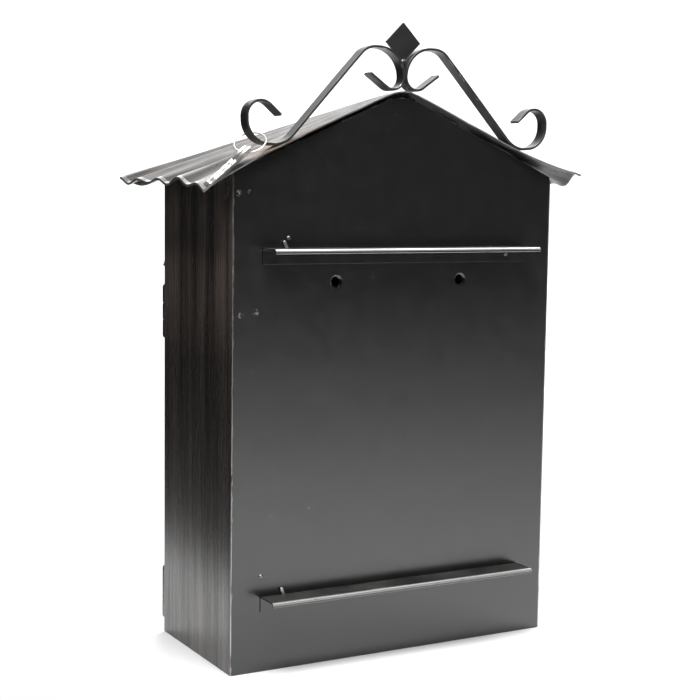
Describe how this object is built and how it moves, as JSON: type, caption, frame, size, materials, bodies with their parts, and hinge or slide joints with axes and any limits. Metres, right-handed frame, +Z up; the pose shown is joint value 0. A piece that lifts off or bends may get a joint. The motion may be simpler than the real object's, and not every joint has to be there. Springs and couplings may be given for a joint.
{
  "type": "wall mounted mailbox",
  "caption": "Gabled sheet-steel wall mailbox with a fluted fan roof, scroll ornament, hinged letter flap, keyed front door and rear stand-off rails.",
  "frame": {"origin": "centre of the two wall-screw holes, on the outer (wall side) face of the back panel", "axes": "+Z up, +Y out of the back panel towards the wall, the door and letter flap face -Y, +X towards the door's hinge side"},
  "size_m": [0.3388, 0.174, 0.4835],
  "materials": {
    "satin_black": "satin black powder coat",
    "brushed_brown": "satin black-brown paint, brushed upright",
    "roof_gloss": "glossy black enamel with worn crests",
    "black_iron": "semi-gloss black paint on flat bar",
    "zinc_steel": "zinc-plated",
    "nickel": "nickel-plated"
  },
  "bodies": {
    "box": {"back_panel": "satin_black", "side_panel_left": "brushed_brown", "side_panel_right": "brushed_brown", "bottom_panel": "brushed_brown", "front_frame": "brushed_brown", "roof": "roof_gloss", "roof_tabs": "satin_black", "scroll_left": "black_iron", "scroll_right": "black_iron", "finial_diamond": "black_iron", "finial_rivet": "black_iron", "rail_upper": "satin_black", "rail_lower": "satin_black", "rail_rivets": "zinc_steel", "flap_brackets": "satin_black", "flap_rod": "zinc_steel", "hinge_frame_leaf_upper": "zinc_steel", "hinge_frame_leaf_lower": "zinc_steel", "hinge_pins": "zinc_steel", "hinge_rivets_frame": "zinc_steel"},
    "door": {"door_panel": "brushed_brown", "hinge_door_leaf_upper": "zinc_steel", "hinge_door_leaf_lower": "zinc_steel", "hinge_rivets_door": "zinc_steel", "lock_barrel": "nickel", "lock_nut": "zinc_steel"},
    "lock_core": {"lock_plug": "nickel", "lock_cam": "zinc_steel", "cam_screw": "zinc_steel"},
    "flap": {"letter_flap": "brushed_brown"},
    "ring": {"key_ring": "nickel"},
    "first_key": {"key_upper": "nickel"},
    "second_key": {"key_lower": "nickel"}
  },
  "joints": [
    {"name": "door_hinge", "type": "hinge", "parent": "box", "child": "door", "pos_m": [0.1378, -0.1308, -0.143], "axis": [0, 0, 1], "range_deg": [0, 110]},
    {"name": "flap_hinge", "type": "hinge", "parent": "box", "child": "flap", "pos_m": [0, -0.1315, 0.056], "axis": [-1, 0, 0], "range_deg": [0, 80]},
    {"name": "lock_turn", "type": "hinge", "parent": "door", "child": "lock_core", "pos_m": [-0.106, -0.125, -0.14], "axis": [0, -1, 0], "range_deg": [0, 90]},
    {"name": "ring_swing", "type": "hinge", "parent": "box", "child": "ring", "pos_m": [0.1195, 0, 0.101], "axis": [0, -1, 0], "range_deg": [0, 20]},
    {"name": "first_key_swing", "type": "hinge", "parent": "ring", "child": "first_key", "pos_m": [0.13628, 0.00724, 0.09375], "axis": [0.6081, -0.4241, 0.6711], "range_deg": [-6, 8]},
    {"name": "second_key_swing", "type": "hinge", "parent": "ring", "child": "second_key", "pos_m": [0.13433, 0.00954, 0.09351], "axis": [0.602, -0.4, 0.691], "range_deg": [-6, 8]}
  ]
}
